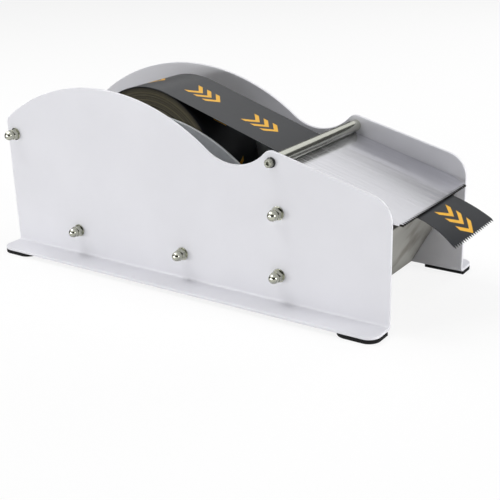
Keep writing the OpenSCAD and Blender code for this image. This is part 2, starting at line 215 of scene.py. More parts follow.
def smooth(piece, angle=35):
    focus(piece)
    bpy.ops.object.shade_smooth_by_angle(angle=math.radians(angle))
    apply_modifier(piece, "WEIGHTED_NORMAL", weight=100, keep_sharp=True)


def round_where(piece, wanted, width, segments=3, sharp=SHARP):
    # wanted tells, for a point in millimetres, whether an edge that ends there may be rounded.
    edit_all(piece)
    bpy.ops.mesh.select_mode(type="EDGE")
    bpy.ops.mesh.select_all(action="DESELECT")
    bpy.ops.mesh.edges_select_sharp(sharpness=math.radians(sharp))
    bpy.ops.object.mode_set(mode="OBJECT")
    points = piece.data.vertices
    for edge in piece.data.edges:
        edge.select = edge.select and all(wanted(points[i].co / MM) for i in edge.vertices)
    for part in (*points, *piece.data.polygons):
        part.select = False
    bpy.ops.object.mode_set(mode="EDIT")
    bpy.ops.mesh.bevel(offset=width * MM, segments=segments, affect="EDGES", clamp_overlap=False)
    bpy.ops.object.mode_set(mode="OBJECT")
    smooth(piece)


print("an edge is sharp from", SHARP, "degrees")

# %% [markdown]
# ## Dressing a piece
# Every finished piece gets its finish, rides on the body that carries it, and names the solid
# that it stands for, which is then hidden. These steps are the same each time, so one function
# does them.

# %% Helper that dresses a piece
def dress(piece, material, body, slot, *nodes):
    piece.data.materials.clear()
    piece.data.materials.append(material)
    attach(piece, body)
    if nodes:
        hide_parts(*nodes)
    print(piece.name, "has", len(piece.data.polygons), "faces and stands for", list(nodes))


# %% [markdown]
# ## White powder coat
# Powder coat is a plastic skin, baked on steel. It sets with a fine ripple like orange peel,
# about a millimetre across, which breaks up the shine. A plain white would look like paper. So
# the ripple is drawn as noise into bump and roughness, and a slow noise shifts the white by a
# shade, as the thickness of a sprayed coat does.

# %% Powder coat material
PEEL = 1.2
DRIFT = 70


def powder_coat():
    # Baked polyester powder: an even, cool white with a soft sheen and no mirror image.
    material, tree, shader, coords = start_material("powder_coat_white", IOR=1.5)
    peel = add_node(tree, "TexNoise", {"Vector": coords, "Scale": per_mm(PEEL), "Detail": 2.0})
    drift = add_node(tree, "TexNoise", {"Vector": coords, "Scale": per_mm(DRIFT), "Detail": 3.0})
    lay_pattern(tree, shader, peel, ("#E0E0E5", "#E6E6EB"), (0.36, 0.5), stops=(0.3, 0.7),
                bump=(0.15, 0.05), tone_by=drift)
    return material


COAT = powder_coat()
print("made", COAT.name)

# %% [markdown]
# ## Side plates
# The two plates are laser-cut sheet, folded out at the foot. Coating rounds every cut edge, and
# that rounding draws the bright line along the sloping front edge. The solids have the outline
# and the fold, so each plate is a copy with half a millimetre of rounding. The holes stay sharp:
# washers cover them, and so the wide faces round them stay whole and flat.

# %% Side plates
# Where the rods and the bar cross the plates: x and z, in millimetres.
TIE = (-160.2, 85)
REAR = (-106, 21.8)
FRONT = (-14, 21.8)
UPPER = (61.2, 62.2)
LOWER = (61.2, 21.8)
BAR = (57, 93.3)
HOLE_CLEAR = 3
PLATE_EDGE = 0.55


def off_the_holes(point):
    place = Vector((point.x, point.z))
    holes = (TIE, REAR, FRONT, UPPER, LOWER, BAR)
    return all((place - Vector(hole)).length > HOLE_CLEAR for hole in holes)


for side in ("left", "right"):
    plate = cad_copy(side + "_side_plate", side + "_plate_coated")
    round_where(plate, off_the_holes, PLATE_EDGE)
    dress(plate, COAT, "stand", "powder_coat", side + "_side_plate")

# %% [markdown]
# ## Rubber feet
# The pads are cut from a sheet of cellular rubber: black, dull, with tiny pores. They could stay
# plain blocks, but a hard edge would make them look like painted steel, so every edge is softened
# by a Bevel modifier. Cells of a Voronoi pattern stand for the pores.

# %% Pad rubber
PORE = 0.8


def pad_rubber():
    # Cellular rubber: a deep black that swallows the light, because each pore shades itself.
    material, tree, shader, coords = start_material("cellular_rubber_black", IOR=1.52,
                                                    Specular_IOR_Level=0.25)
    pores = add_node(tree, "TexVoronoi", {"Vector": coords, "Scale": per_mm(PORE)})
    lay_pattern(tree, shader, pores, ("#060607", "#0E0E10"), (0.92, 0.75), bump=(0.4, 0.1))
    return material


RUBBER = pad_rubber()
print("made", RUBBER.name)

# %% Feet
PAD_EDGE = 0.4


def round_edges(piece, width, segments=3):
    apply_modifier(piece, "BEVEL", width=width * MM, segments=segments, limit_method="ANGLE",
                   angle_limit=math.radians(SHARP), use_clamp_overlap=False)
    smooth(piece)


for corner in ("left_rear", "left_front", "right_rear", "right_front"):
    pad = cad_copy(corner + "_foot", corner + "_pad")
    round_edges(pad, PAD_EDGE)
    dress(pad, RUBBER, "stand", "pad_rubber", corner + "_foot")

# %% [markdown]
# ## Metals
# The cutting plate and the chute are stainless sheet with a brushed face: long scratches in one
# direction smear a reflection across them. Tubes are drawn, so their marks run along them. The
# bar and the rollers are ground or turned, so their marks run round them. An anisotropic shader
# could smear the reflection too, but here the scratches themselves show, so they are drawn, and
# one function makes all the metals: the size of a scratch along each axis sets its direction.
# Real scratches are about 0.05 mm wide. They are drawn about ten times as coarse, to show.

# %% Metal material
HALF_WIDTH = 51 * MM
# The size of the patches of painted reflection, in millimetres.
REFLECTION_PATCH = 22


def metal(name, dark, light, roughness, scratch, depth=0.004, bow=0, reflection_tint=None):
    # bow is how far a thin plate leans at its side edges, in the light alone, because no large
    # sheet is quite flat. reflection_tint is the colour of warm dark patches, a painted reflection laid
    # into the colour.
    material, tree, shader, coords = start_material(name, Metallic=1.0)
    stretch = add_node(tree, "Mapping", {"Vector": coords, "Scale": [per_mm(size) for size in scratch]})
    lines = add_node(tree, "TexNoise", {"Vector": stretch, "Scale": 1.0, "Detail": 4.0})
    tone, marks = lay_pattern(tree, shader, lines, (dark, light), roughness, stops=(0.3, 0.7),
                              spread=(0.3, 0.7), bump=(0.3, depth))
    if bow:
        across = add_node(tree, "SeparateXYZ", {"Vector": coords}).outputs["Y"]
        square = add_node(tree, "Math", {0: across, 1: across}, operation="MULTIPLY")
        slow = add_node(tree, "Bump", {"Height": square, "Distance": bow / (2 * HALF_WIDTH)},
                        invert=True)
        tree.links.new(slow.outputs["Normal"], marks.inputs["Normal"])
    # Painted reflection: warm dark patches mixed into the colour where a slow noise is high.
    if reflection_tint:
        reflection_noise = add_node(tree, "TexNoise", {"Vector": coords, "Scale": per_mm(REFLECTION_PATCH), "Detail": 2.0})
        where = add_node(tree, "MapRange", {"Value": reflection_noise, "From Min": 0.48, "From Max": 0.68})
        with_reflection = add_node(tree, "Mix", {"Factor": where, "A": tone, "B": hex_colour(reflection_tint)},
                        data_type="RGBA")
        tree.links.new(with_reflection.outputs["Result"], shader.inputs["Base Color"])
    return material


# %% The metals of this dispenser
# Brushed stainless: pale and cool, and it pulls every reflection into a soft band.
STAINLESS = metal("brushed_stainless", "#D0D0D5", "#E3E3E8", (0.16, 0.28), (60, 0.5, 60),
                  depth=0.003, bow=0.06)
# The same sheet, its colour painted greyer and darker as painted shade, and duller, with warm dark
# patches of painted reflection.
CHUTE_STEEL_PAINTED_SHADE = metal("brushed_stainless_painted_shade", "#8C8B84", "#A5A49F", (0.45, 0.58), (50, 0.5, 50),
                    depth=0.002, reflection_tint="#76726A")
# A face that a laser has cut: dull and a little dark, painted nearly black as painted shade and painted
# dark reflection, with no shine.
CUT_FACE_PAINTED_DARK = metal("laser_cut_face_painted_dark", "#211F1D", "#34322F", (0.55, 0.7), (1, 1, 0.3))
# Drawn tube: a plain grey shine with faint lines along it.
DRAWN = metal("drawn_steel_tube", "#A9AAA2", "#BDBEB6", (0.25, 0.4), (0.5, 30, 0.5))
# Turned aluminium: whiter than steel, with the tool's rings round it.
TURNED = metal("turned_aluminium", "#C2C3C5", "#D2D3D5", (0.22, 0.36), (20, 0.4, 20))
# Ground bar: bright and a little warm, with hardly a line in its clear reflections.
GROUND = metal("ground_bright_bar", "#C4C5BA", "#D2D3C9", (0.16, 0.24), (15, 0.6, 15), depth=0.001)
# Polished nickel: a small mirror with a yellowish cast.
PLATED = metal("polished_nickel_plate", "#AFB0A3", "#BBBCAF", (0.06, 0.12), (3, 3, 3))
# Zinc-plated sheet: a matt bluish grey with a slight cloud.
ZINC = metal("zinc_plated_sheet", "#CBCED0", "#D8DBDD", (0.6, 0.72), (4, 4, 4))
METALS = (STAINLESS, CHUTE_STEEL_PAINTED_SHADE, CUT_FACE_PAINTED_DARK, DRAWN, TURNED, GROUND, PLATED, ZINC)
print("metals:", [each.name for each in METALS])

# %% [markdown]
# ## Front chute
# The leaning front panel is folded from stainless sheet. A fold has a radius about as large as
# the sheet is thick, so the long fold at the tape mouth is rounded by itself first. The other
# upper edges then only lose their burr. The corners of the low fold are narrower than a bevel,
# so they stay as they were cut.

# %% Front chute
LIP_X, LIP_Z = 132.5, 60.2
LIP_BEND = 1.2
FOLD_TOP = 30
CHUTE_BURR = 0.2
NEAR = 1


def on_the_lip(point):
    return abs(point.x - LIP_X) < NEAR and abs(point.z - LIP_Z) < NEAR


def above_the_fold(point):
    return point.z > FOLD_TOP


chute = cad_copy("front_chute", "chute_brushed")
round_where(chute, on_the_lip, LIP_BEND, segments=4, sharp=20)
round_where(chute, above_the_fold, CHUTE_BURR, segments=2)
dress(chute, CHUTE_STEEL_PAINTED_SHADE, "stand", "stainless_sheet", "front_chute")

# %% [markdown]
# ## Cutting plate
# The plate slopes down from the guide bar and ends in a fine saw edge, cut by a laser. The solid
# has the teeth, so a copy with its burr taken off is enough. The clipped front corners stay
# sharp, because a bevel has no room there. The laser leaves the cut faces dull and a little dark,
# and the flanks of the teeth get a finish of their own, painted nearly black as painted shade
# and painted dark reflection, which draws the dark line along the front edge.

# %% Where the cutting plate lies
# The plate hangs under the bar with a hair of air between them. down and up are its own directions.
BAR_R = 4
SHEET = 1.5
AIR = 0.02
SLOPE = math.radians(15.8)
BLADE_TIP_X = 140
CORNER_BACK = 12

down = Vector((math.cos(SLOPE), -math.sin(SLOPE)))
up = Vector((math.sin(SLOPE), math.cos(SLOPE)))
foot = Vector(BAR) - (BAR_R + AIR + SHEET) * up
blade_len = (BLADE_TIP_X - foot.x) / math.cos(SLOPE)
clip_x = BLADE_TIP_X - CORNER_BACK * math.cos(SLOPE)
print("cutting plate, mm along the slope:", round(blade_len, 1))

# %% Cutting plate with a cut saw edge
TOOTH_ZONE = 2.7
BLADE_BURR = 0.12


def off_the_clips(point):
    return abs(point.x - clip_x) > NEAR


blade = cad_copy("cutting_plate", "cutting_plate_brushed", merge=0.02)
round_where(blade, off_the_clips, BLADE_BURR, segments=2)
dress(blade, STAINLESS, "stand", "stainless_sheet", "cutting_plate")
# The tooth flanks get the cut-face finish, painted nearly black for the shade and dark reflections along
# the saw edge.
blade.data.materials.append(CUT_FACE_PAINTED_DARK)
for face in blade.data.polygons:
    place = Vector((face.center.x, face.center.z)) / MM - foot
    level = face.normal.dot(Vector((up.x, 0, up.y)))
    if place.dot(down) > blade_len - TOOTH_ZONE and abs(level) < 0.5:
        face.material_index = 1
print("dull faces on the teeth:", sum(f.material_index == 1 for f in blade.data.polygons))

# %% [markdown]
# ## Roll cheeks
# A plain zinc-plated sheet stands on each side of the roll and keeps it in line. It is cut like
# the plates but not coated, so its edges only lose their burr, and the same Bevel modifier as on
# the pads is enough.

# %% Cheeks
CHEEK_BURR = 0.3

for side in ("left", "right"):
    cheek = cad_copy(side + "_roll_cheek", side + "_cheek_sheet")
    round_edges(cheek, CHEEK_BURR, segments=2)
    dress(cheek, ZINC, "stand", "cheek_steel", side + "_roll_cheek")

# %% [markdown]
# ## Turning
# A turned piece could start from a cylinder, but then each step in its outline is one more
# extrude. On a lathe the outline is one line, so here one point is extruded along the outline
# and the line is spun about its axis, which lies across the dispenser. Spin can leave the shape
# inside out, so doubles are merged and the normals recalculated.

# %% Helper that turns a profile
TURN_STEPS = 64
SAME_POINT = 0.0005


def turned(name, profile, centre=(0, 0), steps=TURN_STEPS):
    # profile lists radius and place along the axis. centre is where the axis crosses the plates.
    bpy.ops.object.select_all(action="DESELECT")
    bpy.ops.mesh.primitive_plane_add(size=MM)
    piece = bpy.context.object
    piece.name = piece.data.name = name
    places = [Vector((centre[0] + r, y, centre[1])) * MM for r, y in profile]
    edit_all(piece)
    bpy.ops.mesh.merge(type="CENTER")
    bpy.ops.transform.translate(value=places[0])
    for here, there in zip(places, places[1:]):
        bpy.ops.mesh.extrude_vertices_move(TRANSFORM_OT_translate={"value": there - here})
    bpy.ops.mesh.select_all(action="SELECT")
    bpy.ops.mesh.spin(steps=steps, angle=math.tau, axis=(0, 1, 0),
                      center=Vector((centre[0], 0, centre[1])) * MM)
    bpy.ops.mesh.select_all(action="SELECT")
    bpy.ops.mesh.remove_doubles(threshold=SAME_POINT * MM)
    bpy.ops.mesh.normals_make_consistent(inside=False)
    bpy.ops.object.mode_set(mode="OBJECT")
    piece.data.uv_layers.remove(piece.data.uv_layers[0])
    return piece


print("a turned piece has", TURN_STEPS, "sides if nothing else is said")

# %% [markdown]
# ## Spacer tubes
# Three tubes on the tie rods keep the plates and the hanging walls apart. Tube is cut to length
# on a lathe, and the tool leaves a small chamfer at each end. One profile does for every ring of
# this dispenser: a rectangle with its four corners cut off.

# %% Spacer tubes
ROD_HOLE = 2.15
TUBE_R = 5
TUBE_CUT = 0.3
PLATES_INSIDE = 51
WALLS_INSIDE = 48


def ring(name, centre, inner, outer, y0, y1, cut=TUBE_CUT, steps=TURN_STEPS):
    profile = [(inner, y0 + cut), (inner + cut, y0), (outer - cut, y0), (outer, y0 + cut),
               (outer, y1 - cut), (outer - cut, y1), (inner + cut, y1), (inner, y1 - cut),
               (inner, y0 + cut)]
    piece = turned(name, profile, centre, steps)
    smooth(piece)
    return piece


for place, at, half, node in (("rear", TIE, PLATES_INSIDE, "rear_tie_tube"),
                              ("upper", UPPER, WALLS_INSIDE, "upper_front_spacer"),
                              ("lower", LOWER, WALLS_INSIDE, "lower_front_spacer")):
    tube = ring(place + "_spacer_tube", at, ROD_HOLE, TUBE_R, -half, half)
    dress(tube, DRAWN, "stand", "tube_steel", node)

# %% [markdown]
# ## Rollers
# Each roller is an aluminium tube on two nylon bushes, which turn on a fixed steel sleeve. Short
# standoffs hold the cheeks away from the plates. The rollers ride on bodies of their own, so
# that they turn with the roll. All of them are rings again, so the ring of the spacer tubes
# makes them. Nylon lets a little light in, which a touch of subsurface gives.

# %% Bush nylon
FLOW = 3


def nylon():
    # Moulded natural nylon: a milky off-white with soft flow marks and a waxy shine.
    material, tree, shader, coords = start_material("natural_nylon", IOR=1.53, Subsurface_Weight=0.1)
    flow = add_node(tree, "TexNoise", {"Vector": coords, "Scale": per_mm(FLOW), "Detail": 2.0})
    lay_pattern(tree, shader, flow, ("#DEDBCF", "#EDEBE2"), (0.42, 0.56))
    return material


NYLON = nylon()
print("made", NYLON.name)

# %% Rollers, sleeves and standoffs
SLEEVE_R, SLEEVE_HALF = 4, 26
BUSH_HOLE, BUSH_R, BUSH_FROM = 4.05, 8, 13.5
TUBE_HOLE, ROLLER_R, ROLLER_HALF = 8.01, 10, 25.5
ROLLER_CUT, ROLLER_STEPS = 0.4, 96
CHEEK_OUT = 28


def join(name, pieces):
    focus(pieces[0])
    for piece in pieces:
        piece.select_set(True)
    bpy.ops.object.join()
    pieces[0].name = pieces[0].data.name = name
    return pieces[0]


def both_sides(name, centre, inner, outer, near, far, *shape):
    # The same ring on the left and on the right, near and far from the middle.
    return [ring(name, centre, inner, outer, *ends, *shape) for ends in ((-far, -near), (near, far))]


for place, at in (("rear", REAR), ("front", FRONT)):
    sleeve = ring(place + "_sleeve", at, ROD_HOLE, SLEEVE_R, -SLEEVE_HALF, SLEEVE_HALF)
    dress(sleeve, DRAWN, "stand", "tube_steel", place + "_roller_sleeve")
    tube = ring(place + "_roller_tube", at, TUBE_HOLE, ROLLER_R, -ROLLER_HALF, ROLLER_HALF,
                ROLLER_CUT, ROLLER_STEPS)
    dress(tube, TURNED, place + "_roller", "roller_aluminium", place + "_roller")
    bushes = join(place + "_nylon_bushes",
                  both_sides("bush", at, BUSH_HOLE, BUSH_R, BUSH_FROM, ROLLER_HALF))
    dress(bushes, NYLON, place + "_roller", "bush_nylon", place + "_roller_bushes")
    standoffs = join(place + "_standoff_tubes",
                     both_sides("standoff", at, ROD_HOLE, TUBE_R, CHEEK_OUT, PLATES_INSIDE))
    dress(standoffs, DRAWN, "stand", "tube_steel", place + "_standoffs")

# %% [markdown]
# ## Threaded rods
# The tie rods are threaded along their length. A thread could be a screw of real faces, but the
# rods hide inside the tubes and nuts. So the solids stay, and the thread is a ripple along the
# rod with its real pitch. A wave of scale 1 takes tau / 20 of a metre for one turn.

# %% Threaded rods
PITCH = 0.7


def thread():
    # Rolled thread, zinc plated: the roots are painted darker as painted shade, and the crests lighter as
    # painted highlight.
    material, tree, shader, coords = start_material("threaded_rod_zinc", Metallic=1.0)
    wave = add_node(tree, "TexWave", {"Vector": coords, "Scale": per_mm(PITCH) * math.tau / 20},
                    wave_type="BANDS", bands_direction="Y", wave_profile="TRI").outputs["Fac"]
    lay_pattern(tree, shader, wave, ("#6F706B", "#B4B5AF"), (0.5, 0.3), bump=(0.8, 0.3))
    return material


THREAD = thread()
for rod in ("rear_tie", "rear_roller", "front_roller", "upper_front", "lower_front"):
    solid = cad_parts[rod + "_rod"]
    solid.data.materials.clear()
    solid.data.materials.append(THREAD)
print("five rods carry", THREAD.name)

# %% [markdown]
# ## Guide bar
# The bar lies across the plates, on the rear edge of the cutting plate, and holds it down. It
# is ground bright and drilled at both ends for a small screw. A cylinder with two holes cut
# in it would do as well, but a profile gives the holes and the chamfers in one turn.

# %% Guide bar
BAR_HOLE = 1.55
BAR_DRILL = 39
BAR_HALF = 51
BAR_CUT = 0.4
BAR_STEPS = 72

bar_end = [(0, BAR_DRILL), (BAR_HOLE, BAR_DRILL), (BAR_HOLE, BAR_HALF),
           (BAR_R - BAR_CUT, BAR_HALF), (BAR_R, BAR_HALF - BAR_CUT)]
bar_profile = [(r, -y) for r, y in bar_end] + bar_end[::-1]
bar = turned("guide_bar_ground", bar_profile, BAR, BAR_STEPS)
smooth(bar)
dress(bar, GROUND, "stand", "bar_steel", "guide_bar")

# %% [markdown]
# ## Socket screws
# A screw with a knurled head and a six-sided socket holds the bar at each end. The screw is
# turned, every second strip of the head's side is pushed in for the knurling, and the socket is
# cut with a six-sided cutter, much as it is pressed in the real one. It is made once and copied.

# %% Turn and knurl the screw
SHANK_R, SHANK_LEN, SHANK_TIP, SHANK_NECK = 1.5, 9, 0.3, 0.2
HEAD_R, HEAD_H, HEAD_EASE = 2.745, 3, 0.15
CROWN_H, CROWN_W = 0.5, 0.4
KNURL_STEPS = 72
KNURL_IN = 0.965
ON_SIDE = 0.05

shank = [(0, -SHANK_LEN), (SHANK_R - SHANK_TIP, -SHANK_LEN), (SHANK_R, SHANK_TIP - SHANK_LEN),
         (SHANK_R, -SHANK_NECK), (SHANK_R + SHANK_NECK, 0)]
head = [(HEAD_R - HEAD_EASE, 0), (HEAD_R, HEAD_EASE), (HEAD_R, HEAD_H - CROWN_H),
        (HEAD_R - HEAD_EASE, HEAD_H - HEAD_EASE), (HEAD_R - CROWN_W, HEAD_H), (0, HEAD_H)]
screw = turned("socket_screw", shank + head, steps=KNURL_STEPS)
pushed = 0
for vertex in screw.data.vertices:
    strip_number = round(math.degrees(math.atan2(vertex.co.z, vertex.co.x)) * KNURL_STEPS / 360)
    reach = math.hypot(vertex.co.x, vertex.co.z)
    if reach > (HEAD_R - ON_SIDE) * MM and strip_number % 2:
        vertex.co.x *= KNURL_IN
        vertex.co.z *= KNURL_IN
        pushed += 1
print("points pushed in for the knurling:", pushed)

# %% Cut the socket and copy the screw
HEAD_Y = 53.8
SOCKET_R = 1.45
SOCKET_DEEP = 1.6
CUTTER = 4
half_turn = Matrix.Rotation(math.pi, 4, "Z")


def moved_copy(piece, matrix):
    copy = bpy.data.objects.new(piece.name, piece.data.copy())
    copy.data.transform(matrix)
    bpy.context.scene.collection.objects.link(copy)
    return copy


def cut_with(piece, cutter, operation):
    apply_modifier(piece, "BOOLEAN", object=cutter, operation=operation, solver="EXACT")
    bpy.data.objects.remove(cutter)


bpy.ops.object.select_all(action="DESELECT")
bpy.ops.mesh.primitive_cylinder_add(vertices=6, radius=SOCKET_R * MM, depth=CUTTER * MM,
                                    rotation=(math.pi / 2, 0, 0),
                                    location=(0, (HEAD_H - SOCKET_DEEP + CUTTER / 2) * MM, 0))
cut_with(screw, bpy.context.object, "DIFFERENCE")
smooth(screw, 30)
to_bar = Matrix.Translation(Vector((BAR[0], 0, BAR[1])) * MM)
out = Matrix.Translation((0, HEAD_Y * MM, 0))
screws = [moved_copy(screw, to_bar @ out), moved_copy(screw, to_bar @ half_turn @ out)]
bpy.data.objects.remove(screw)
# Plain bright steel: a grey, slightly warm shine, softer than the plated nuts.
SCREW_STEEL = metal("bright_socket_screw", "#8E8F84", "#A5A69B", (0.2, 0.32), (2, 2, 2))
dress(join("socket_screws", screws), SCREW_STEEL, "stand", "screw_steel", "guide_bar_screws")

# %% [markdown]
# ## Black washers
# A thin black washer under each screw head keeps it from biting into the coat, and draws a dark
# line round it. A cylinder with a hole would do, but the ring of the tubes has its chamfers
# already. It is moulded in nylon with a fine grain.

# %% Black washers
GRAIN = 0.5
PLATE_Y = 53
BLACK_HOLE, BLACK_R, BLACK_CUT = 1.65, 3.3, 0.15


def black_nylon():
    # Moulded black nylon: nearly black, with a dull satin from its grain.
    material, tree, shader, coords = start_material("black_nylon_washer", IOR=1.53)
    grain = add_node(tree, "TexNoise", {"Vector": coords, "Scale": per_mm(GRAIN), "Detail": 2.0})
    lay_pattern(tree, shader, grain, ("#141416", "#222225"), (0.45, 0.6))
    return material


black_rings = both_sides("washer", BAR, BLACK_HOLE, BLACK_R, PLATE_Y, HEAD_Y, BLACK_CUT)
dress(join("black_washers", black_rings), black_nylon(), "stand", "washer_black", "guide_bar_washers")

# %% [markdown]
# ## Domed nuts and washers
# A domed nut is a hexagon bar with both ends turned to a chamfer, and a round cap on top. Its
# chamfer leaves curved lines on the flats. A bevel gives straight ones, but a hexagon cut by a
# turned shape gives the right ones, so the nut is made as in the shop, once, and copied to its
# ten places. No two nuts stop at the same angle, so each pair gets a turn with a fixed seed.

# %% One domed nut
NUT_AF = 7
NUT_HEX_H = 3.6
NUT_H = 8.8
NUT_EASE, FOOT_CUT, TOP_CUT = 0.1, 0.45, 0.6
CAP_R, CAP_FROM, CAP_STEP = 3.3, 2, 7
NECK_IN, NECK_H, SHOULDER_H = 0.25, 0.2, 0.45

hex_r = NUT_AF / 2 / math.cos(math.pi / 6)
flat_r = NUT_AF / 2 - NUT_EASE
over_r = hex_r + NUT_EASE
neck_r = CAP_R - NECK_IN
bpy.ops.object.select_all(action="DESELECT")
bpy.ops.mesh.primitive_cylinder_add(vertices=6, radius=hex_r * MM, depth=NUT_HEX_H * MM,
                                    rotation=(-math.pi / 2, 0, 0), location=(0, NUT_HEX_H / 2 * MM, 0))
nut = bpy.context.object
bpy.ops.object.transform_apply(location=True, rotation=True, scale=True)
chamfer = turned("chamfer", [(0, 0), (flat_r, 0), (over_r, FOOT_CUT), (over_r, NUT_HEX_H - TOP_CUT),
                             (flat_r, NUT_HEX_H), (0, NUT_HEX_H)], steps=72)
cut_with(nut, chamfer, "INTERSECT")
cap_arc = [(CAP_R * math.cos(math.radians(a)), NUT_H - CAP_R + CAP_R * math.sin(math.radians(a)))
           for a in range(0, 85, CAP_STEP)]
cap = turned("cap", [(0, CAP_FROM), (neck_r, CAP_FROM), (neck_r, NUT_HEX_H + NECK_H),
                     (CAP_R, NUT_HEX_H + SHOULDER_H), *cap_arc, (0, NUT_H)], steps=48)
cut_with(nut, cap, "UNION")
smooth(nut, 25)
print("one nut has", len(nut.data.polygons), "faces")

# %% Nuts and washers in their places
WASHER_R = 4.4
WASHER_T = 0.8
WASHER_CUT, WASHER_STEPS = 0.15, 48

nuts, washers = [], []
lift = Matrix.Translation((0, (PLATE_Y + WASHER_T) * MM, 0))
for x, z in (TIE, REAR, FRONT, UPPER, LOWER):
    place = Matrix.Translation(Vector((x, 0, z)) * MM)
    spin = Matrix.Rotation(random.Random(x).uniform(0, math.pi / 3), 4, "Y")
    nuts += [moved_copy(nut, place @ lift @ spin), moved_copy(nut, place @ half_turn @ lift @ spin)]
    washers += both_sides("washer", (x, z), ROD_HOLE, WASHER_R, PLATE_Y, PLATE_Y + WASHER_T,
                          WASHER_CUT, WASHER_STEPS)
bpy.data.objects.remove(nut)
dress(join("polished_nuts", nuts), PLATED, "stand", "nut_chrome", "domed_nuts")
dress(join("plated_washers", washers), PLATED, "stand", "washer_steel", "plain_washers")

# %% [markdown]
# ## Printed film
# The tape is a dark satin film, printed with amber chevrons that point the way it is pulled. The
# print could be cut into the mesh, but then every edge of it would need points. Here it is drawn by
# arithmetic in the material: the place along the tape, leaned by the place across, is folded
# into one repeat, and what falls in the first part of each step is inked. The same film lies
# flat on the strip and round the roll, so a function gives the place on each.

# %% Film material and its print
TAPE_W = 50
PRINT_EVERY = 48
PRINT_FROM = 32
CHEVRON_PITCH = 7.5
CHEVRON_W = 3.6
CHEVRON_HALF = 8.0
CHEVRON_LEAN = 0.8
AMBER = "#E6AE34"
MOTTLE = 9


def printed_film(name, place):
    # Printed polypropylene film: a soft grey sheen on near black, and flat, warm ink.
    # place gives the position across and along the tape, in millimetres.
    material, tree, shader, coords = start_material(name, IOR=1.49, Specular_IOR_Level=0.34)
    across, along = place(tree, coords)
    from_middle = add_node(tree, "Math", {0: across, 1: TAPE_W / 2}, operation="SUBTRACT")
    off_centre = add_node(tree, "Math", {0: from_middle}, operation="ABSOLUTE")
    lean = add_node(tree, "Math", {0: off_centre, 1: CHEVRON_LEAN, 2: along}, operation="MULTIPLY_ADD")
    start = add_node(tree, "Math", {0: lean, 1: PRINT_FROM}, operation="SUBTRACT")
    step = add_node(tree, "Math", {0: start, 1: PRINT_EVERY}, operation="FLOORED_MODULO")
    beat = add_node(tree, "Math", {0: step, 1: CHEVRON_PITCH}, operation="MODULO")
    bars = add_node(tree, "Math", {0: beat, 1: CHEVRON_W}, operation="LESS_THAN")
    near = add_node(tree, "Math", {0: off_centre, 1: CHEVRON_HALF}, operation="LESS_THAN")
    three = add_node(tree, "Math", {0: step, 1: 3 * CHEVRON_PITCH}, operation="LESS_THAN")
    short_bars = add_node(tree, "Math", {0: bars, 1: near}, operation="MULTIPLY")
    inked = add_node(tree, "Math", {0: short_bars, 1: three}, operation="MULTIPLY")
    mottle = add_node(tree, "TexNoise", {"Vector": coords, "Scale": per_mm(MOTTLE), "Detail": 3.0})
    tone, _ = lay_pattern(tree, shader, mottle, ("#202124", "#2D2F32"), (0.3, 0.42), bump=(0.12, 0.2))
    ink = add_node(tree, "Mix", {"Factor": inked, "A": tone, "B": hex_colour(AMBER)}, data_type="RGBA")
    tree.links.new(ink.outputs["Result"], shader.inputs["Base Color"])
    return material


print("the print repeats every", PRINT_EVERY, "mm")

# %% Film round the roll
ROLL = (-60, 67.44)
ROLL_R = 54.5
CORE_R = 41
BORE_R = 38
ROLL_START = 379
TO_ROLL = (-ROLL[0] * MM, 0, -ROLL[1] * MM)


def round_the_roll(tree, coords):
    centred = add_node(tree, "Mapping", {"Vector": coords, "Location": TO_ROLL})
    x, y, z = add_node(tree, "SeparateXYZ", {"Vector": centred}).outputs
    angle = add_node(tree, "Math", {0: x, 1: z}, operation="ARCTAN2")
    along = add_node(tree, "Math", {0: angle, 1: ROLL_R, 2: ROLL_START}, operation="MULTIPLY_ADD")
    across = add_node(tree, "Math", {0: y, 1: 1 / MM, 2: TAPE_W / 2}, operation="MULTIPLY_ADD")
    return across, along


ROLL_FILM = printed_film("printed_film_on_roll", round_the_roll)
print("made", ROLL_FILM.name)

# %% [markdown]
# ## The wound roll
# A roll of film shows its turns on the side as fine rings, never quite level. Each turn could be
# a sheet of its own, but hundreds of them would be lost in the picture. So the side profile is a
# stair of bands, each set in by up to a seventh of a millimetre with a fixed seed, and the
# material adds finer rings. A turn of film is about 0.05 mm thick. The rings are drawn far
# coarser, because only then do they show.

# %% Side rings material
RINGS = 2.4


def wound_side():
    # The edges of many turns of film with glue between them: dull brown rings, dark and pale.
    material, tree, shader, coords = start_material("wound_film_side", IOR=1.49)
    centred = add_node(tree, "Mapping", {"Vector": coords, "Location": TO_ROLL, "Scale": (1, 0, 1)})
    radius = add_node(tree, "VectorMath", {0: centred}, operation="LENGTH").outputs["Value"]
    rings = add_node(tree, "TexNoise",
                     {"W": radius, "Scale": per_mm(RINGS), "Detail": 4.0, "Roughness": 0.6},
                     noise_dimensions="1D")
    lay_pattern(tree, shader, rings, ("#221E15", "#857E62"), (0.4, 0.65), stops=(0.35, 0.7),
                bump=(0.5, 0.05))
    return material


WOUND_SIDE = wound_side()
print("made", WOUND_SIDE.name)

# %% The roll itself
BANDS = 26
SEED = 7
SET_IN = 0.14
STAIR = 0.02
ROLL_STEPS = 180

draw = random.Random(SEED)
band_w = (ROLL_R - CORE_R) / BANDS
side_steps = []
for band in range(BANDS):
    half = TAPE_W / 2 - draw.uniform(0, SET_IN)
    inner = CORE_R + band * band_w
    side_steps += [(inner + STAIR, half), (inner + band_w - STAIR, half)]
near_side = [(r, -half) for r, half in side_steps]
roll = turned("wound_roll", near_side + side_steps[::-1] + near_side[:1], ROLL, ROLL_STEPS)
smooth(roll, 30)
dress(roll, ROLL_FILM, "roll", "tape_film", "tape_roll")
roll.data.materials.append(WOUND_SIDE)
for face in roll.data.polygons:
    reach = math.hypot(face.center.x - ROLL[0] * MM, face.center.z - ROLL[1] * MM)
    face.material_index = 0 if reach > (ROLL_R - 0.1) * MM and abs(face.normal.y) < 0.5 else 1

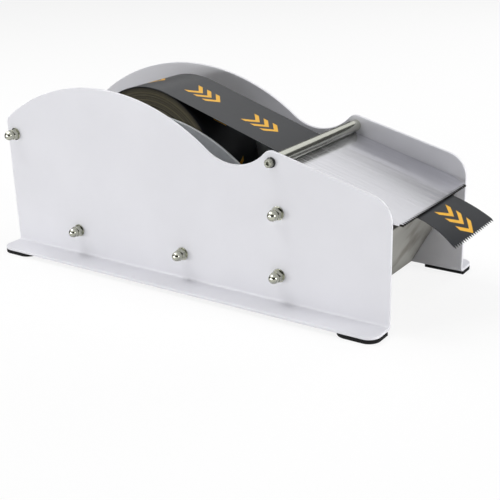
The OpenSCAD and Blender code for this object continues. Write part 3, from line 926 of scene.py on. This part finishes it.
# %% [markdown]
# ## The core
# The core is a tube of grey board, wound in a spiral and glued. It is one more ring. Its fibres are
# a fraction of a millimetre wide and are drawn coarser, so that the board doesn't look like
# plastic.

# %% Board core
FIBRES = 1.5
CORE_CUT, CORE_STEPS = 0.3, 128


def board():
    # Wound grey board: soft and dry, with mixed fibres and no shine at all.
    material, tree, shader, coords = start_material("wound_core_board", IOR=1.45)
    fibres = add_node(tree, "TexNoise",
                      {"Vector": coords, "Scale": per_mm(FIBRES), "Detail": 5.0, "Roughness": 0.7})
    lay_pattern(tree, shader, fibres, ("#4E4A3F", "#6A6556"), (0.8, 0.95), stops=(0.3, 0.72),
                bump=(0.3, 0.1))
    return material


core = ring("board_core", ROLL, BORE_R, CORE_R, -TAPE_W / 2, TAPE_W / 2, CORE_CUT, CORE_STEPS)
dress(core, board(), "roll", "core_board", "tape_core")

# %% [markdown]
# ## The threaded tape
# The strip comes off the top of the roll, runs straight to the rear edge of the cutting plate,
# turns under it, and droops past the saw edge. Its path is three arcs with straight runs
# between them: round the roll, round the plate's edge, and the droop. A curve with a flat section
# could follow it, but the torn end needs points of its own. So the path is laid out first, and a
# flat grid is then laid along it row by row, which keeps the film even.

# %% Path of the strip
FILM = 0.4
OFF_ROLL = 0.3
LIP_BACK = 4.5
DROOP_R = 67
DROOP = math.radians(27)
WRAP = math.radians(75)

lie_r = ROLL_R + OFF_ROLL + FILM / 2
lip_r = SHEET / 2 + AIR + FILM / 2
tail_r = DROOP_R - FILM / 2
lip = foot - LIP_BACK * down + SHEET / 2 * up
roll_at = Vector(ROLL)
to_lip = lip - roll_at
leave = math.atan2(to_lip.y, to_lip.x) + math.acos((lie_r + lip_r) / to_lip.length)
tail_at = foot + blade_len * down - (AIR + DROOP_R) * up
flat = math.pi / 2 - SLOPE


def arc(centre, radius, start, end, steps):
    angles = [start + (end - start) * i / steps for i in range(steps + 1)]
    return [centre + radius * Vector((math.cos(a), math.sin(a))) for a in angles]


corners = arc(roll_at, lie_r, leave + WRAP, leave, 48)
corners += arc(lip, lip_r, leave + math.pi, flat + math.pi, 4)
corners += arc(tail_at, tail_r, flat, flat - DROOP, 20)
lengths = [0.0]
for a, b in zip(corners, corners[1:]):
    lengths.append(lengths[-1] + (b - a).length)
strip_len = lengths[-1]
tail_from = strip_len - DROOP * tail_r
print("strip length, mm:", round(strip_len, 1), "tail", round(strip_len - tail_from, 1))

# %% [markdown]
# The last tear left a zigzag: every second column of the grid ends short, and the shortening
# is spread over the last few rows so that no face folds over. The tear runs a little askew, and the
# droop twists as loose tape does. Each point keeps its place on the tape in an attribute, and the
# print reads it there. The film is drawn thicker than real tape, so that its edge shows.

# %% The strip as a grid laid along the path
ROWS = 220
COLUMNS = 40
TEAR = 2.2
TEAR_ROWS = 4
TEAR_SKEW = 4.5
TWIST = 3.5
DRAWN_FILM = 0.16


def on_path(distance):
    for i in range(1, len(lengths)):
        if distance <= lengths[i] or i == len(lengths) - 1:
            share = (distance - lengths[i - 1]) / (lengths[i] - lengths[i - 1])
            return corners[i - 1] + share * (corners[i] - corners[i - 1])


bpy.ops.object.select_all(action="DESELECT")
bpy.ops.mesh.primitive_grid_add(x_subdivisions=ROWS, y_subdivisions=COLUMNS, size=1, calc_uvs=False)
strip = bpy.context.object
strip.name = strip.data.name = "printed_strip"
place_on_tape = strip.data.attributes.new("tape_mm", "FLOAT_VECTOR", "POINT")
for index, vertex in enumerate(strip.data.vertices):
    share, across = vertex.co.x + 0.5, vertex.co.y
    end = strip_len - TEAR_SKEW * (0.5 - across)
    if round((across + 0.5) * COLUMNS) % 2 == 0:
        end -= TEAR * max(0.0, 1 - (1 - share) * ROWS / TEAR_ROWS)
    distance = share * end
    x, z = on_path(min(distance, strip_len))
    hang = max(0.0, (distance - tail_from) / (strip_len - tail_from))
    place_on_tape.data[index].vector = ((across + 0.5) * TAPE_W, distance, 0)
    vertex.co = Vector((x, across * TAPE_W, z + TWIST * hang ** 2 * 2 * across)) * MM
apply_modifier(strip, "SOLIDIFY", thickness=DRAWN_FILM * MM, offset=0.0)
smooth(strip, 40)


def along_the_strip(tree, coords):
    own = add_node(tree, "Attribute", attribute_name="tape_mm")
    across, along, _ = add_node(tree, "SeparateXYZ", {"Vector": own.outputs["Vector"]}).outputs
    return across, along


STRIP_FILM = printed_film("printed_film_strip", along_the_strip)
dress(strip, STRIP_FILM, "stand", "tape_film", "tape_strip")

# %% [markdown]
# ## White room
# The dispenser stands on white paper in a white room. Strong light would make them white too,
# but it would bleach the coat. So they are white by themselves: rays from the camera see them
# so, and so do rays that leave a shiny surface, unless a matt one sent them there. All other
# rays find a dim room, and the lamps stay at a plain level.

# %% White room
FILL = 0.08
WHITE = (1, 1, 1, 1)


def rays_that_see(tree):
    rays = add_node(tree, "LightPath").outputs
    shiny = add_node(tree, "Math", {0: rays["Is Glossy Ray"], 1: rays["Is Transmission Ray"]},
                     operation="MAXIMUM")
    direct = add_node(tree, "Math", {0: rays["Diffuse Depth"], 1: 0.5}, operation="LESS_THAN")
    first = add_node(tree, "Math", {0: shiny, 1: direct}, operation="MULTIPLY")
    seen = add_node(tree, "Math", {0: first, 1: rays["Is Camera Ray"]}, operation="MAXIMUM")
    return rays["Is Camera Ray"], seen


world = bpy.data.worlds.new("studio_room")
world.use_nodes = True
bpy.context.scene.world = world
room = world.node_tree
room.nodes.clear()
seen = rays_that_see(room)[1]
fill = add_node(room, "Background", {"Color": WHITE, "Strength": FILL})
ground = add_node(room, "Background", {"Color": WHITE, "Strength": 1.0})
mixed = add_node(room, "MixShader", {0: seen, 1: fill, 2: ground})
add_node(room, "OutputWorld", {"Surface": mixed})
print("room fill:", FILL)

# %% [markdown]
# ## Floor
# The floor is a wide sheet of paper. It glows a little below white, and the light that falls on it
# makes up the rest, so that the dispenser's shadow stays. Under the dispenser the real paper
# lies in the dark, and the bright pieces show that, so for shiny rays the glow fades out there.

# %% Floor
FLOOR_SIZE, FLOOR_Z = 12, -0.3 * MM
FLOOR_GLOW = 0.86
FLOOR_SEEN = 0.14
FLOOR_BOUNCE = 0.8
SHADE_X, SHADE_HALF_X, SHADE_HALF_Y, SHADE_FADE = -0.04, 0.13, 0.055, 0.03

bpy.ops.object.select_all(action="DESELECT")
bpy.ops.mesh.primitive_plane_add(size=FLOOR_SIZE, location=(0, 0, FLOOR_Z))
floor = bpy.context.object
floor.name = "floor"
paper = bpy.data.materials.new("floor_paper")
paper.use_nodes = True
tree = paper.node_tree
tree.nodes.clear()
camera_ray, seen = rays_that_see(tree)
coords = add_node(tree, "TexCoord").outputs["Object"]
x, y, _ = add_node(tree, "SeparateXYZ", {"Vector": coords}).outputs
from_middle = add_node(tree, "Math", {0: x, 1: SHADE_X}, operation="SUBTRACT")
off_x = add_node(tree, "Math", {0: from_middle}, operation="ABSOLUTE")
off_y = add_node(tree, "Math", {0: y}, operation="ABSOLUTE")
clear_x, clear_y = [add_node(tree, "MapRange",
                             {"Value": off, "From Min": half, "From Max": half + SHADE_FADE})
                    for off, half in ((off_x, SHADE_HALF_X), (off_y, SHADE_HALF_Y))]
clear = add_node(tree, "Math", {0: clear_x, 1: clear_y}, operation="MAXIMUM")
lit = add_node(tree, "Math", {0: clear, 1: camera_ray}, operation="MAXIMUM")
show = add_node(tree, "Math", {0: seen, 1: lit}, operation="MULTIPLY")
strength = add_node(tree, "Math", {0: show, 1: FLOOR_GLOW}, operation="MULTIPLY")
glow = add_node(tree, "Emission", {"Color": WHITE, "Strength": strength})
bounce = add_node(tree, "MapRange", {"Value": seen, "To Min": FLOOR_BOUNCE, "To Max": FLOOR_SEEN})
matt = add_node(tree, "BsdfDiffuse", {"Color": bounce})
both = add_node(tree, "AddShader", {0: matt, 1: glow})
add_node(tree, "OutputMaterial", {"Surface": both})
floor.data.materials.append(paper)
print("floor of", FLOOR_SIZE, "metres")

# %% [markdown]
# ## Lamps
# One sun would give hard shadows, so the light comes from large soft boxes, as over a product
# table. Three above, mostly to the left, give the flanges and the tape their tone. Two low strips
# light the near plate from the front. Two fills reach the front panel and the far plate. The
# last one is kept out of reflections, because it stands where the cutting plate would mirror it.

# %% Lamps
FLOOR_MIDDLE = (0, 0, 0)
PART_MIDDLE = (0, 0, 0.06)


def lamp(name, place, aim, size, power):
    bpy.ops.object.select_all(action="DESELECT")
    bpy.ops.object.light_add(type="AREA", location=place)
    light = bpy.context.object
    light.name = name
    light.data.shape = "RECTANGLE"
    light.data.size, light.data.size_y = size
    light.data.energy = power
    light.rotation_euler = (Vector(aim) - Vector(place)).to_track_quat("-Z", "Y").to_euler()
    light.visible_camera = False
    return light


lamp("top_left_softbox", (-0.9, 0.0, 1.2), FLOOR_MIDDLE, (0.8, 0.8), 7.6)
lamp("top_softbox", (-0.1, 0.3, 1.4), FLOOR_MIDDLE, (1.0, 0.9), 3.4)
lamp("top_front_softbox", (-0.45, -0.4, 1.4), FLOOR_MIDDLE, (0.9, 0.5), 5.9)
lamp("low_left_strip", (-0.75, -1.35, 0.14), PART_MIDDLE, (0.7, 0.24), 6.4)
lamp("low_middle_strip", (0.1, -1.5, 0.1), PART_MIDDLE, (0.7, 0.16), 4.5)
lamp("front_end_fill", (1.4, 0.15, 0.35), PART_MIDDLE, (0.6, 0.5), 12.5)
back = lamp("back_fill", (0.5, 1.4, 0.6), PART_MIDDLE, (0.8, 0.6), 8)
back.visible_glossy = False
print("lamps:", len(bpy.data.lights))

# %% [markdown]
# ## Dark cards
# Polished metal shows only what stands round it, and in a room that is white all over it would look
# like white plastic. So black cards stand just out of view, as in a real studio. They are seen
# in reflections alone and cast no shadow. The two behind the dispenser darken the far half of
# the cutting plate. The others draw the dark spots on the nuts' domes and the dark side of the bar.

# %% Dark cards
CARD_AIM = Vector((0.09, 0, 0.08))
CARD_FAR = 1.3
CARD_BLACK = (0.01, 0.01, 0.01, 1)
black = bpy.data.materials.new("black_card")
black.use_nodes = True
black.node_tree.nodes["Principled BSDF"].inputs["Base Color"].default_value = CARD_BLACK


def behind(azimuth, elevation):
    # A place on a wide arc round the cutting plate: degrees right of straight back, degrees above level.
    az, el = math.radians(azimuth), math.radians(elevation)
    way = Vector((math.sin(az) * math.cos(el), math.cos(az) * math.cos(el), math.sin(el)))
    return CARD_AIM + CARD_FAR * way


def card(name, place, aim, size, roll=0):
    bpy.ops.object.select_all(action="DESELECT")
    bpy.ops.mesh.primitive_plane_add(size=1)
    flag = bpy.context.object
    flag.name = name
    turn = (Vector(aim) - Vector(place)).to_track_quat("Z", "Y").to_matrix().to_4x4()
    tilt = Matrix.Rotation(math.radians(roll), 4, "Z")
    flag.matrix_world = Matrix.Translation(place) @ turn @ tilt @ Matrix.Diagonal((*size, 1, 1))
    flag.data.materials.append(black)
    flag.visible_camera = flag.visible_diffuse = flag.visible_shadow = flag.visible_transmission = False
    print(name, "stands at", [round(v, 2) for v in place])


card("camera_side_card", CAMERA_PLACE - 0.4 * CAMERA_FORWARD, PART_MIDDLE, (1.3, 1.1))
card("back_left_card", behind(-29, 3), CARD_AIM, (1.69, 0.84), roll=20)
card("back_right_card", behind(34, 10.5), CARD_AIM, (1.62, 0.9))
card("left_card", (-0.95, -0.3, 0.16), (0, -0.06, 0.06), (0.9, 0.7))
card("floor_left_card", (-0.55, -0.25, 0.002), (-0.55, -0.25, 1), (0.5, 0.8))

# %% [markdown]
# ## Colour view
# The dressed part has to stay in the box of the solids. Standard view keeps each colour about
# as it was written.

# %% Standard view
scene = bpy.context.scene
scene.view_settings.view_transform = "Standard"
